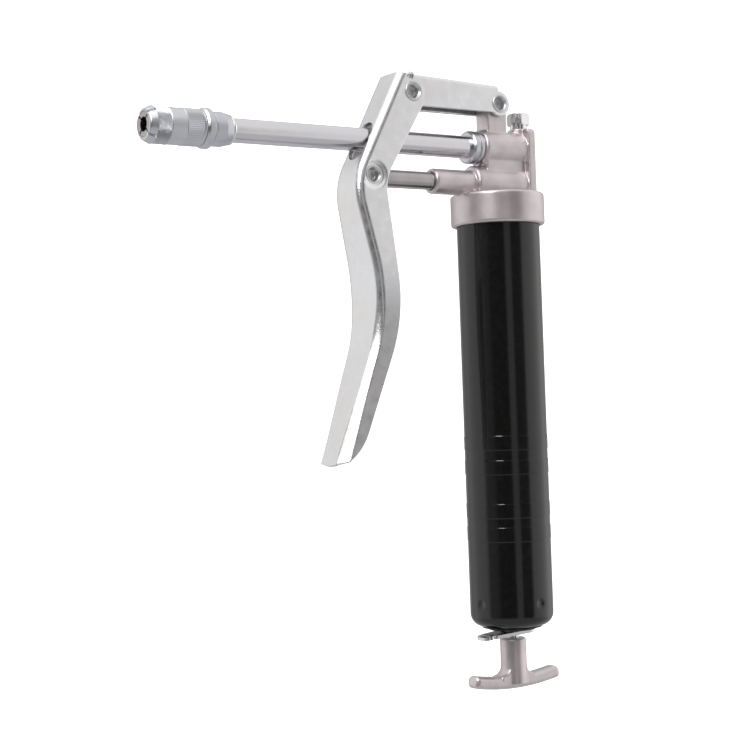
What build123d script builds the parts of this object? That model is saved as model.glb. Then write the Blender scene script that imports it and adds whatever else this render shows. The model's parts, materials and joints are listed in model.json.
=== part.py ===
from build123d import *
import os
from math import asin, atan2, cos, degrees, hypot, radians, sin

# Mini grease gun with a pistol-style squeeze lever.
# Millimetres.  +Z runs up the barrel, the nozzle points along -X, and the Y = 0 plane is the mirror plane.
# The origin is on the barrel's axis, at the middle of the knurled grip.

# ---------------------------------------------------------------- driving dimensions
BARREL_R = 19.0
BARREL_WALL = 1.3
BARREL_BORE_R = BARREL_R - BARREL_WALL
BARREL_TOP_Z = 129.35
BARREL_BEND_R = 6.0            # rounded lower edge
BARREL_END_Z = -63.0
BARREL_MOUTH_R = 14.0          # rolled-in mouth at the lower end
BAND_CENTRES_Z = (20.8, 9.8, -9.8, -20.4)
BAND_HEIGHT = 6.2
BAND_RISE = 0.15
DIMPLE_Z = -51.9
DIMPLE_ANGLES = (6, 96, 186, 276)
DIMPLE_R = 2.6
DIMPLE_DEPTH = 0.7

RING_R = 21.55
RING_BOTTOM_Z = 120.0
RING_TOP_Z = 134.5
THREAD_R = BARREL_R + 0.07     # bore of the ring that the barrel turns in
THREAD_TOP_Z = 131.0
GASKET_THICKNESS = 1.6

PIPE_Z = 155.6                 # axis of the delivery pipe
PIPE_R = 5.1
PIPE_BORE_R = 2.6
PIPE_FRONT_X = -152.4
PIPE_REAR_X = -1.2
OUTLET_R = 3.6

PLUNGER_Z = 139.25             # axis of the plunger
PLUNGER_R = 4.0
RUNNING = 0.05                 # radial clearance of a running fit
PLUNGER_TIP_X = -13.2
PLUNGER_EYE_R = 5.3

LOWER_BOSS_R = 8.0
UPPER_BOSS_R = 8.2
LOWER_BOSS_X = -15.5
UPPER_BOSS_X = -10.5
GLAND_R = 5.75
GLAND_X = -37.7
PLATE_FRONT_X = 12.8
PLATE_REAR_X = 17.0
PLATE_HALF_Y = 8.8
PLATE_TOP_Z = 165.2
LUG_HALF_Y = 4.4
LUG_FRONT_X = -7.2
LUG_REAR_X = 4.0

PIVOT_A = (-1.6, 175.6)        # link to head lug (x, z)
PIVOT_B = (-51.5, 177.0)       # lever to link
PIVOT_C = (-73.6, PLUNGER_Z)   # lever to plunger
PIN_R = 3.2
PIN_HEAD_R = 4.5
PIN_HEAD_T = 0.7
PIN_HOLE_R = 2.7
PIN_HOLE_DEPTH = 3.5
SMALL_PIN_R = 2.5              # pin C where it crosses the plunger's eye
PRESS_GAP = 0.02               # between a pin and the sheet it is riveted in

LINK_HALF_Y = 6.65
LINK_SHEET = 1.8
LINK_EAR_R = 5.7
LINK_BOTTOM_Z = 171.45
LINK_TOP_FRONT = (-52.0, 185.65)
LINK_TOP_REAR = (-2.0, 183.9)

LEVER_SHEET = 1.8
LEVER_HALF_TOP = 9.25          # half width at the pivots
LEVER_HALF_GRIP = 12.1         # half width at the palm swell
LEVER_HALF_TIP = 10.2
LEVER_BEND_R = 3.2             # outer radius where the web turns into the flanges
LEVER_WEB = ((-58.0, 185.7), (-84.3, 135.9), (-72.4, 80.9), (-96.8, 14.6))
LEVER_WEB_RADII = (28.0, 80.0)
LEVER_REAR = ((-47.0, 170.6), (-68.0, 137.2), (-63.2, 77.0), (-83.4, 26.6))
LEVER_REAR_RADII = (20.0, 80.0)
LEVER_TIP_TURN = (-88.2, 17.9)  # where the rear edge rounds in to the web
LEVER_EAR_R = 5.8
SLOT_CENTRE_Z = 155.0
SLOT_WIDTH = 11.9
SLOT_LENGTH = 19.0
COIN_R = 5.2                   # pressed-in dish round pin C
COIN_DEPTH = 0.8
COIN_PAD_R = 6.3               # pad that the dish raises inside the flange

ROD_R = 3.0
ROD_TOP_Z = 114.2
ROD_NOTCH_Z = 48.6
FOLLOWER_FACE_Z = 108.0
SPRING_SEAT_Z = -40.0
SPRING_R = 10.5
SPRING_WIRE_R = 0.75
SPRING_TURNS = 13

CAP_STEP_R = 13.7
CAP_BOSS_R = 11.0
CAP_STEP_Z = -63.6
CAP_BOTTOM_Z = -64.6
LATCH_POCKET_R = 5.6
LATCH_POCKET_Z = -61.4

STEM_R = 6.0
STEM_TOP_Z = -68.6
HANDLE_HALF_X = 25.0
HANDLE_BOTTOM_Z = -91.5
HANDLE_END_Z = -86.2
HANDLE_THICKNESS = 5.6
HANDLE_HALF_Y = 4.0

NOSE_X = -178.3
CONE_REAR_X = -175.2
FINE_KNURL_REAR_X = -168.6
BAND_REAR_X = -161.8
SLEEVE_REAR_X = -153.1
SLEEVE_R = 7.8
NOSE_R = 6.2
MOUTH_R = 5.3
CAVITY_R = 6.35
JAW_LIP_R = 3.0
JAW_SLOT = 0.8
JAW_TRAVEL = 1.5
BODY_FLANGE_R = 8.4
BODY_R = 7.2
BODY_REAR_X = -140.0
SPIGOT_FRONT_X = -159.2

VALVE_X = 14.2                 # air valve on top of the head
VALVE_HEX_FLATS = 9.4
VALVE_HEX_Z = (167.4, 172.9)
VALVE_SEAT_Z = 165.4
VALVE_SEAT_R = 5.0
VALVE_THREAD_R = 3.4
CHECK_X = 5.0                  # axis of the check ball's bore
CHECK_SEAT_Z = 149.4
CHECK_SEAT_R = 1.6
CHECK_BALL_R = 2.4


# ---------------------------------------------------------------- helpers
def face_xz(points):
    """A flat face in the XZ plane from its corner points (x, z)."""
    return make_face(Plane.XZ * Polyline(*points, close=True))


def turned(points):
    """A solid of revolution about Z from its half profile (radius, z)."""
    return revolve(face_xz(points), Axis.Z)


def turned_x(points, axis_z):
    """A solid of revolution about a line along X at height axis_z, from its half profile (x, radius)."""
    profile = face_xz([(x, axis_z + r) for x, r in points])
    return revolve(profile, Axis((0, 0, axis_z), (1, 0, 0)))


def rod_x(x0, x1, radius, axis_z):
    """A plain round bar along X."""
    return turned_x([(x0, 0), (x1, 0), (x1, radius), (x0, radius)], axis_z)


def rod_z(z0, z1, radius, x=0.0):
    """A plain round bar along Z."""
    return Pos(x, 0, z0) * Cylinder(radius, z1 - z0, align=(Align.CENTER, Align.CENTER, Align.MIN))


def rod_y(centre, half_y, radius):
    """A plain round bar along Y through (x, z)."""
    return Pos(centre[0], 0, centre[1]) * Rot(90, 0, 0) * Cylinder(radius, 2 * half_y)


def block(x0, x1, half_y, z0, z1):
    """A box that is centred on the mirror plane."""
    return Pos((x0 + x1) / 2, 0, (z0 + z1) / 2) * Box(x1 - x0, 2 * half_y, z1 - z0)


def slab(face, half_y):
    """An XZ face made into a plate, centred on the mirror plane."""
    return extrude(face, half_y, both=True)


def hollow_pin(centre, half_grip, shank_r, head_r, hole_depth=PIN_HOLE_DEPTH):
    """A rivet along Y with a thin head and a blind hole at each end."""
    pin = rod_y(centre, half_grip + PIN_HEAD_T, shank_r)
    heads = rod_y(centre, half_grip + PIN_HEAD_T, head_r) - rod_y(centre, half_grip + PRESS_GAP, head_r + 1)
    pin = pin + heads
    mouths = rod_y(centre, half_grip + 1, PIN_HOLE_R)
    mouths = mouths - rod_y(centre, half_grip + PIN_HEAD_T - hole_depth, PIN_HOLE_R + 1)
    return pin - mouths


def point_on_web(z):
    """The x of the lever web's outer face at height z, on its straight upper part."""
    (x0, z0), (x1, z1) = LEVER_WEB[0], LEVER_WEB[1]
    return x0 + (x1 - x0) * (z - z0) / (z1 - z0)


# ---------------------------------------------------------------- barrel
def barrel_tube():
    """The drawn tube: its lower end rolled in, knurled bands round it and crimp marks pressed in."""
    bend_z = BARREL_END_Z + BARREL_BEND_R
    inner_bend = BARREL_BEND_R - BARREL_WALL
    centre_r = BARREL_R - BARREL_BEND_R
    left_open = degrees(asin((BARREL_MOUTH_R - centre_r) / (BARREL_BEND_R - BARREL_WALL / 2)))
    outer_arc = CenterArc((centre_r, bend_z), BARREL_BEND_R, 0, left_open - 90)
    inner_arc = CenterArc((centre_r, bend_z), inner_bend, 0, left_open - 90)
    outline = Curve() + [
        outer_arc,
        Line(outer_arc @ 1, inner_arc @ 1),
        inner_arc,
        Line(inner_arc @ 0, (BARREL_BORE_R, BARREL_TOP_Z)),
        Line((BARREL_BORE_R, BARREL_TOP_Z), (BARREL_R, BARREL_TOP_Z)),
        Line((BARREL_R, BARREL_TOP_Z), outer_arc @ 0),
    ]
    tube = revolve(make_face(Plane.XZ * outline), Axis.Z)
    for centre in BAND_CENTRES_Z:
        tube = tube + knurl_band(centre)
    wall_inside = turned([
        (BARREL_R - 3, DIMPLE_Z - 5), (BARREL_BORE_R + 0.1, DIMPLE_Z - 5),
        (BARREL_BORE_R + 0.1, DIMPLE_Z + 5), (BARREL_R - 3, DIMPLE_Z + 5)])
    for angle in DIMPLE_ANGLES:
        tube = tube - Rot(0, 0, angle) * dimple(BARREL_R)
        tube = tube + Rot(0, 0, angle) * (dimple(BARREL_BORE_R) & wall_inside)
    return tube


def knurl_band(centre_z):
    """The slightly raised band that carries the knurl."""
    low = centre_z - BAND_HEIGHT / 2
    high = centre_z + BAND_HEIGHT / 2
    top_r = BARREL_R + BAND_RISE
    return turned([
        (BARREL_R - 0.5, low), (BARREL_R, low), (top_r, low + BAND_RISE), (top_r, high - BAND_RISE),
        (BARREL_R, high), (BARREL_R - 0.5, high)])


def dimple(surface_r):
    """The ball that presses a crimp mark into a wall of the given radius, on the +X side."""
    ball_r = (DIMPLE_R ** 2 + DIMPLE_DEPTH ** 2) / (2 * DIMPLE_DEPTH)
    return Pos(surface_r - DIMPLE_DEPTH + ball_r, 0, DIMPLE_Z) * Sphere(ball_r)


def barrel_end_cap():
    """The plug that the tube is crimped on: spring seat, rod guide and pocket for the latch spring."""
    outer_r = BARREL_BORE_R - 0.05
    groove_r = BARREL_BORE_R - DIMPLE_DEPTH - 0.15
    plug = turned([
        (ROD_R + RUNNING, SPRING_SEAT_Z), (outer_r, SPRING_SEAT_Z),
        (outer_r, DIMPLE_Z + 2.8), (groove_r, DIMPLE_Z + 2.3), (groove_r, DIMPLE_Z - 2.3),
        (outer_r, DIMPLE_Z - 2.8), (outer_r, -55.8), (CAP_STEP_R - 0.5, -55.8),
        (CAP_STEP_R - 0.5, CAP_STEP_Z + 1.0), (CAP_STEP_R, CAP_STEP_Z + 0.5), (CAP_STEP_R, CAP_STEP_Z),
        (CAP_BOSS_R, CAP_STEP_Z), (CAP_BOSS_R, CAP_BOTTOM_Z + 0.3), (CAP_BOSS_R - 0.3, CAP_BOTTOM_Z),
        (LATCH_POCKET_R, CAP_BOTTOM_Z), (LATCH_POCKET_R, LATCH_POCKET_Z),
        (ROD_R + RUNNING, LATCH_POCKET_Z)])
    hollow = turned([(6.0, -58.5), (11.5, -58.5), (11.5, -44.0), (6.0, -44.0)])
    return plug - hollow


def coil(radius, wire_r, z0, z1, turns):
    """A coil spring along Z that fills the height from z0 to z1."""
    height = (z1 - z0) - 2 * wire_r - 0.2
    path = Helix(height / turns, height, radius)
    section = Plane(origin=path @ 0, z_dir=path % 0) * Circle(wire_r)
    return Pos(0, 0, z0 + wire_r + 0.1) * sweep(section, path=path)


def follower_spring():
    """The long spring that pushes the follower up."""
    return coil(SPRING_R, SPRING_WIRE_R, SPRING_SEAT_Z, FOLLOWER_FACE_Z - 1.6, SPRING_TURNS)


def latch_spring():
    """The short spring that tilts the latch plate, so that it grips the rod."""
    return coil(4.6, 0.35, -64.8, LATCH_POCKET_Z, 2.5)


def latch_plate():
    """The locking plate under the cap: a tongue round the rod, with a thumb tab towards the nozzle."""
    thickness = 1.5
    outline = make_face(Curve() + FilletPolyline(
        (-15.6, -5.0), (8.6, -7.5), (8.6, 7.5), (-15.6, 5.0), radius=3.0, close=True))
    plate = extrude(outline, thickness / 2, both=True)
    tab = Pos(-15.0, 0, 0) * Rot(0, -5, 0) * Pos(-0.8, 0, 0) * Box(5.6, 9.4, thickness)
    tab = fillet(tab.edges().filter_by(Axis.Z, tolerance=20).sort_by(Axis.X)[:2], 3.6)
    plate = plate + tab - Cylinder(ROD_R + 0.6, 10)
    return Pos(0, 0, -65.95) * Rot(0, -4.0, 0) * plate


# ---------------------------------------------------------------- follower, rod and handle
def follower_cup():
    """The rubber piston, with its sealing lip pointing at the grease."""
    z = FOLLOWER_FACE_Z
    hole = ROD_R + RUNNING
    lip = BARREL_BORE_R - RUNNING
    return turned([
        (hole, z), (lip - 1.6, z), (lip - 0.4, z + 2.0), (lip - 0.6, z + 6.5), (lip, z + 11.5),
        (lip - 1.0, z + 12.0), (lip - 3.2, z + 4.2), (8.5, z + 3.0), (hole, z + 3.0)])


def follower_plate():
    """The washer that backs the rubber cup."""
    z = FOLLOWER_FACE_Z
    return turned([
        (ROD_R + RUNNING, z - 1.6), (12.2, z - 1.6), (12.6, z - 1.2), (12.6, z), (ROD_R + RUNNING, z)])


def follower_rod():
    """The pull rod, with a latching groove and the flange that the follower's washer rests on."""
    bottom = STEM_TOP_Z - 9.0
    rod = turned([
        (0, bottom), (ROD_R, bottom), (ROD_R, ROD_NOTCH_Z - 1.3), (ROD_R - 0.7, ROD_NOTCH_Z - 1.2),
        (ROD_R - 0.7, ROD_NOTCH_Z + 1.2), (ROD_R, ROD_NOTCH_Z + 1.3), (ROD_R, ROD_TOP_Z - 0.5),
        (ROD_R - 0.5, ROD_TOP_Z), (0, ROD_TOP_Z)])
    flange_z = FOLLOWER_FACE_Z - 1.8
    flange = turned([
        (0, flange_z - 1.5), (4.6, flange_z - 1.5), (5.0, flange_z - 1.1), (5.0, flange_z), (0, flange_z)])
    return rod + flange


def rod_clip():
    """The clip that holds the cup on the rod."""
    z = FOLLOWER_FACE_Z + 3.1
    return turned([(ROD_R, z), (5.4, z), (5.4, z + 0.9), (4.2, z + 1.6), (ROD_R, z + 1.6)])


def t_handle():
    """The cast T: a round stem that flares into a bar with upturned ends."""
    rise = HANDLE_END_Z - (HANDLE_BOTTOM_Z + HANDLE_THICKNESS / 2)
    end_x = HANDLE_HALF_X - 0.8
    bow_r = (end_x ** 2 + rise ** 2) / (2 * rise)
    centre_z = HANDLE_BOTTOM_Z + HANDLE_THICKNESS / 2 + bow_r
    half_angle = degrees(asin(end_x / bow_r))
    spine = Plane.XZ * CenterArc((0, centre_z), bow_r, 270 - half_angle, 2 * half_angle)
    section = Plane(origin=spine @ 0, z_dir=spine % 0, x_dir=(0, 1, 0))
    bar = sweep(section * RectangleRounded(2 * HANDLE_HALF_Y, HANDLE_THICKNESS, 2.2), path=spine)
    ends = bar.faces().sort_by(Axis.X)
    bar = fillet(ends[0].edges() + ends[-1].edges(), 2.0)
    flare_z = HANDLE_BOTTOM_Z + 2.0
    flare_r = 4.2
    turns = [radians(a) for a in range(0, 91, 15)]
    flare = [(STEM_R + flare_r * (1 - sin(a)), flare_z + 4.0 + flare_r * (1 - cos(a))) for a in turns]
    stem = turned([(0, flare_z), (STEM_R + flare_r, flare_z)] + flare + [
        (STEM_R, STEM_TOP_Z - 0.6), (STEM_R - 0.6, STEM_TOP_Z), (0, STEM_TOP_Z)])
    stem = stem & (block(-20, 20, HANDLE_HALF_Y, -95, -60) + rod_z(-95, -60, STEM_R))
    return bar + stem - rod_z(STEM_TOP_Z - 9.0, STEM_TOP_Z + 1, ROD_R)


# ---------------------------------------------------------------- head
def head_gasket():
    """The ring gasket that the barrel's upper edge is screwed against."""
    z = THREAD_TOP_Z - GASKET_THICKNESS
    return turned([(15.4, z), (THREAD_R - 0.1, z), (THREAD_R - 0.1, THREAD_TOP_Z), (15.4, THREAD_TOP_Z)])


def head_ring():
    """The screwed cap of the head, without its bore."""
    ring = rod_z(RING_BOTTOM_Z, RING_TOP_Z, RING_R)
    return fillet(ring.edges().filter_by(GeomType.CIRCLE), 1.2)


def head_lug():
    """The post that carries the link's rear pivot."""
    post = block(LUG_FRONT_X, LUG_REAR_X, LUG_HALF_Y, PIPE_Z, PIVOT_A[1])
    return post + rod_y(PIVOT_A, LUG_HALF_Y, (LUG_REAR_X - LUG_FRONT_X) / 2)


def boss_x(front_x, rear_x, radius, axis_z, chamfer_r=0.8):
    """A round boss along X, chamfered at its front."""
    return turned_x([
        (front_x, 0), (rear_x, 0), (rear_x, radius), (front_x + chamfer_r, radius),
        (front_x, radius - chamfer_r)], axis_z)


def head_casting():
    """The cast head: ring, gland and plunger boss, pipe boss, rear plate, link post and valve seat."""
    casting = head_ring()
    casting = casting + boss_x(LOWER_BOSS_X, PLATE_REAR_X - 1, LOWER_BOSS_R, PLUNGER_Z)
    casting = casting + boss_x(UPPER_BOSS_X, PLATE_REAR_X - 1, UPPER_BOSS_R, PIPE_Z)
    casting = casting + boss_x(GLAND_X, LOWER_BOSS_X + 1, GLAND_R, PLUNGER_Z, 0.9)
    casting = casting + block(LOWER_BOSS_X + 4, PLATE_FRONT_X + 1, 5.6, RING_TOP_Z - 2, PLUNGER_Z)
    casting = casting + block(UPPER_BOSS_X + 1.5, PLATE_FRONT_X + 1, 5.8, PLUNGER_Z, PIPE_Z)
    plate = block(PLATE_FRONT_X, PLATE_REAR_X, PLATE_HALF_Y, RING_TOP_Z - 2, PLATE_TOP_Z)
    plate = fillet(plate.edges().filter_by(Axis.X).sort_by(Axis.Z)[-2:], 2.5)
    casting = casting + plate + head_lug()
    casting = casting + rod_z(PIPE_Z, VALVE_SEAT_Z, VALVE_SEAT_R, VALVE_X)
    return casting - head_bores()


def head_bores():
    """Everything that is bored or drilled in the casting."""
    bores = rod_z(RING_BOTTOM_Z - 1, THREAD_TOP_Z, THREAD_R)
    bores = bores + rod_x(GLAND_X - 1, 8.0, PLUNGER_R + RUNNING, PLUNGER_Z)
    bores = bores + rod_x(-34.6, -31.4, 4.95, PLUNGER_Z)
    bores = bores + rod_x(UPPER_BOSS_X - 1, PIPE_REAR_X + 0.1, PIPE_R + PRESS_GAP, PIPE_Z)
    bores = bores + rod_x(PIPE_REAR_X, 9.5, OUTLET_R + 0.6, PIPE_Z)
    bores = bores + rod_z(THREAD_TOP_Z - 1, PLUNGER_Z, 2.6, -7.0)
    bores = bores + rod_z(PLUNGER_Z, PIPE_Z, CHECK_SEAT_R, CHECK_X)
    bores = bores + rod_z(CHECK_SEAT_Z, PIPE_Z, CHECK_BALL_R + 0.4, CHECK_X)
    bores = bores + rod_z(THREAD_TOP_Z - 1, 160.5, 1.2, VALVE_X)
    bores = bores + rod_z(159.9, VALVE_SEAT_Z + 1, VALVE_THREAD_R + PRESS_GAP, VALVE_X)
    return bores + rod_y(PIVOT_A, LUG_HALF_Y + 1, PIN_R + RUNNING)


def plunger_packing():
    """The cup seal in the gland, which grips the plunger."""
    return turned_x([
        (-34.5, PLUNGER_R + RUNNING), (-34.5, 4.93), (-31.5, 4.93), (-31.5, 4.6), (-32.6, 4.5),
        (-31.5, 4.3), (-31.5, PLUNGER_R + RUNNING)], PLUNGER_Z)


def check_ball():
    """The ball that rests on the edge of the outlet's lower bore."""
    above_seat = (CHECK_BALL_R ** 2 - CHECK_SEAT_R ** 2) ** 0.5 + 0.01
    return Pos(CHECK_X, 0, CHECK_SEAT_Z + above_seat) * Sphere(CHECK_BALL_R)


def check_spring():
    """The spring between the ball and the roof of the outlet."""
    top_of_ball = check_ball().bounding_box().max.Z
    return Pos(CHECK_X, 0, 0) * coil(1.5, 0.25, top_of_ball, PIPE_Z + OUTLET_R + 0.6 - 0.35, 3)


def pipe_collar():
    """The round lock nut that seats the pipe against the upper boss."""
    bore_r = PIPE_R + PRESS_GAP
    return turned_x([
        (-17.0, bore_r), (-17.0, 6.6), (-16.2, 7.5), (-13.6, 7.5), (-13.6, 6.9), (-13.0, 6.9), (-13.0, 7.5),
        (-11.4, 7.5), (-11.4, 6.7), (UPPER_BOSS_X, 6.7), (UPPER_BOSS_X, bore_r)], PIPE_Z)


def delivery_pipe():
    """The rigid pipe from the head to the coupler."""
    return turned_x([
        (PIPE_FRONT_X, PIPE_BORE_R), (PIPE_FRONT_X, PIPE_R), (PIPE_REAR_X, PIPE_R),
        (PIPE_REAR_X, PIPE_BORE_R)], PIPE_Z)


def valve_body():
    """The hexagon air valve that screws in the top of the head."""
    low, top = VALVE_HEX_Z
    hexagon = extrude(RegularPolygon(VALVE_HEX_FLATS / 2, 6, major_radius=False), top - low)
    hexagon = Pos(0, 0, low) * Rot(0, 0, 8) * hexagon
    rounding = turned([
        (0, low - 1), (4.2, low - 1), (5.6, low + 0.8), (5.6, top - 0.8), (4.4, top), (0, top)])
    neck = turned([
        (0, 160.6), (VALVE_THREAD_R - 0.4, 160.6), (VALVE_THREAD_R, 161.0), (VALVE_THREAD_R, VALVE_SEAT_Z),
        (3.9, VALVE_SEAT_Z), (3.9, low + 0.5), (0, low + 0.5)])
    inside = turned([
        (0, 160), (1.3, 160), (1.3, 161.6), (2.2, 161.6), (2.2, 167.6), (1.3, 167.6), (1.3, 174), (0, 174)])
    return Pos(VALVE_X, 0, 0) * ((hexagon & rounding) + neck - inside)


def valve_pin():
    """The pin that lets trapped air out when it is pressed."""
    return Pos(VALVE_X, 0, 0) * turned([
        (0, 164.0), (1.2, 164.0), (1.2, 166.4), (2.1, 166.4), (2.1, 167.5), (1.2, 167.5), (1.2, 173.2),
        (0.9, 173.5), (0, 173.5)])


def valve_spring():
    """The spring that holds the pin up."""
    return Pos(VALVE_X, 0, 0) * coil(1.75, 0.22, 161.6, 166.4, 4)


# ---------------------------------------------------------------- coupler
def coupler_body():
    """The adapter that screws on the pipe, with the flange that the sleeve runs up to."""
    return turned_x([
        (PIPE_FRONT_X, PIPE_R + PRESS_GAP), (PIPE_FRONT_X, 2.0), (SPIGOT_FRONT_X, 2.0), (SPIGOT_FRONT_X, 5.9),
        (SPIGOT_FRONT_X + 0.4, CAVITY_R - RUNNING), (SLEEVE_REAR_X + 0.1, CAVITY_R - RUNNING),
        (SLEEVE_REAR_X + 0.1, 7.7), (-152.0, BODY_FLANGE_R), (-149.6, BODY_FLANGE_R), (-148.4, BODY_R),
        (-143.4, BODY_R), (BODY_REAR_X, 6.4), (BODY_REAR_X, PIPE_R + PRESS_GAP)], PIPE_Z)


def coupler_ring():
    """The bright end ring behind the adapter."""
    return turned_x([
        (BODY_REAR_X, PIPE_R + PRESS_GAP), (BODY_REAR_X, 6.1), (BODY_REAR_X + 0.5, 6.4),
        (BODY_REAR_X + 1.4, 5.9), (BODY_REAR_X + 1.4, PIPE_R + PRESS_GAP)], PIPE_Z)


def coupler_sleeve():
    """The sleeve that turns on the adapter: a notched cone, two knurled stretches and a plain band."""
    sleeve = turned_x([
        (NOSE_X, MOUTH_R), (NOSE_X, NOSE_R), (NOSE_X + 0.3, NOSE_R + 0.4), (CONE_REAR_X, SLEEVE_R),
        (FINE_KNURL_REAR_X, SLEEVE_R), (FINE_KNURL_REAR_X, SLEEVE_R - 0.15), (BAND_REAR_X, SLEEVE_R - 0.15),
        (BAND_REAR_X, SLEEVE_R), (SLEEVE_REAR_X - 0.4, SLEEVE_R), (SLEEVE_REAR_X, SLEEVE_R - 0.4),
        (SLEEVE_REAR_X, CAVITY_R), (-173.6, CAVITY_R), (-173.6, MOUTH_R)], PIPE_Z)
    notch = Pos(NOSE_X + 1.2, 0, 7.8) * Box(3.6, 1.1, 2.4)
    for angle in (45, 135, 225, 315):
        sleeve = sleeve - Pos(0, 0, PIPE_Z) * Rot(angle, 0, 0) * notch
    return sleeve


def coupler_jaws():
    """Four jaws that snap over a grease nipple, cut from one turned collet."""
    collet = turned_x([
        (NOSE_X, JAW_LIP_R), (NOSE_X, MOUTH_R - 0.1), (-173.2, MOUTH_R - 0.1), (-173.2, CAVITY_R - 0.1),
        (-170.9, CAVITY_R - 0.1), (-170.9, 3.5), (-175.0, 3.5), (-175.3, JAW_LIP_R)], PIPE_Z)
    for angle in (45, 135):
        slot = Pos(-174, 0, 0) * Box(12, JAW_SLOT, 20)
        collet = collet - Pos(0, 0, PIPE_Z) * Rot(angle, 0, 0) * slot
    return collet


def coupler_seal():
    """The seal that is pressed on the nipple behind the jaws."""
    return turned_x([
        (-170.7, 1.3), (-170.7, 5.8), (-168.0, 6.0), (-168.0, 1.3)], PIPE_Z)


def coupler_spring():
    """The spring that pushes the seal and the jaws forward."""
    front_x = -168.0
    length = SPIGOT_FRONT_X - JAW_TRAVEL - 0.3 - front_x
    return Pos(front_x, 0, PIPE_Z) * Rot(0, 90, 0) * coil(4.6, 0.45, 0, length, 4)


# ---------------------------------------------------------------- plunger, link and lever
def plunger():
    """The polished rod, with a flat eye for pin C.  The eye is oversize: the lever swings on its link."""
    x, z = PIVOT_C
    rod = turned_x([
        (x + 3, 0), (PLUNGER_TIP_X, 0), (PLUNGER_TIP_X, PLUNGER_R - 0.5), (PLUNGER_TIP_X - 0.5, PLUNGER_R),
        (x + 3, PLUNGER_R)], PLUNGER_Z)
    eye = rod_y(PIVOT_C, 3.6, PLUNGER_EYE_R)
    return rod + eye - rod_y(PIVOT_C, 5.0, SMALL_PIN_R + 0.7)


def plunger_pin():
    """The lever's pin for the plunger, stepped down between the flanges."""
    grip = LEVER_HALF_TOP - COIN_DEPTH
    middle = grip - LEVER_SHEET - 0.3
    pin = hollow_pin(PIVOT_C, grip, PIN_R, PIN_HEAD_R - 0.2, 2.0)
    return pin - (rod_y(PIVOT_C, middle, PIN_R + 1) - rod_y(PIVOT_C, middle, SMALL_PIN_R))


def lever_link_pin():
    """The rivet that the lever turns on the link by."""
    return hollow_pin(PIVOT_B, LEVER_HALF_TOP, PIN_R, PIN_HEAD_R)


def link_head_pin():
    """The rivet that the link turns on the head by."""
    return hollow_pin(PIVOT_A, LINK_HALF_Y, PIN_R, PIN_HEAD_R - 0.3)


def link_outline():
    """Side view of the link: a long web side on top, a round ear at each pivot."""
    (ax, az), (bx, bz) = PIVOT_A, PIVOT_B
    body = face_xz([
        (bx, LINK_BOTTOM_Z), (bx - 4.6, bz + 3.4), LINK_TOP_FRONT, LINK_TOP_REAR, (ax - 0.4, LINK_BOTTOM_Z)])
    ear_a = Plane.XZ * Pos(ax, az) * Circle(LINK_EAR_R)
    ear_b = Plane.XZ * Pos(bx, bz) * Circle(bz - LINK_BOTTOM_Z)
    return body + ear_a + ear_b


def link():
    """The link: a channel of folded sheet, open below, between the lever and the head."""
    channel = slab(link_outline(), LINK_HALF_Y)
    slope = (LINK_TOP_REAR[1] - LINK_TOP_FRONT[1]) / (LINK_TOP_REAR[0] - LINK_TOP_FRONT[0])
    top_edges = [e for e in channel.edges().filter_by(GeomType.LINE)
                 if abs(e.tangent_at(0.5).Y) < 0.1 and e.center().Z > PIVOT_B[1] + 6 and e.length > 40]
    channel = fillet(top_edges, LINK_SHEET)
    front_z = LINK_TOP_FRONT[1] - LINK_SHEET - 20 * slope
    rear_z = LINK_TOP_REAR[1] - LINK_SHEET + 20 * slope
    inside = face_xz([
        (LINK_TOP_FRONT[0] - 20, 150), (LINK_TOP_FRONT[0] - 20, front_z), (LINK_TOP_REAR[0] + 20, rear_z),
        (LINK_TOP_REAR[0] + 20, 150)])
    channel = channel - slab(inside, LINK_HALF_Y - LINK_SHEET)
    channel = channel - rod_y(PIVOT_A, 20, PIN_R + PRESS_GAP)
    return channel - rod_y(PIVOT_B, 20, PIN_R + RUNNING)


def moved_corners(corners, distance):
    """The corners of an open line after it is moved sideways by distance, to the left of its direction."""
    normals = []
    for (x0, z0), (x1, z1) in zip(corners, corners[1:]):
        length = hypot(x1 - x0, z1 - z0)
        normals.append(((z0 - z1) / length, (x1 - x0) / length))
    normals = [normals[0]] + normals + [normals[-1]]
    moved = []
    for (x, z), (ax, az), (bx, bz) in zip(corners, normals, normals[1:]):
        scale = distance / (1 + ax * bx + az * bz)
        moved.append((x + (ax + bx) * scale, z + (az + bz) * scale))
    return moved


def lever_side_outer():
    """Side view of the lever: the web's outer edge, the flanges' rear edge and the ear round the link pin."""
    web = FilletPolyline(*LEVER_WEB, radius=list(LEVER_WEB_RADII))
    rear = FilletPolyline(*LEVER_REAR, radius=list(LEVER_REAR_RADII))
    ear_rear = (PIVOT_B[0] + LEVER_EAR_R, PIVOT_B[1] - 1.0)
    ear_top = (PIVOT_B[0] - 1.2, LEVER_WEB[0][1] - 1.8)
    ear_high = (PIVOT_B[0] + LEVER_EAR_R * 0.75, PIVOT_B[1] + LEVER_EAR_R * 0.75)
    outline = Curve() + [
        web, ThreePointArc(web @ 1, LEVER_TIP_TURN, rear @ 1), rear, Line(rear @ 0, ear_rear),
        ThreePointArc(ear_rear, ear_high, ear_top), Line(ear_top, web @ 0)]
    return make_face(Plane.XZ * outline)


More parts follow.
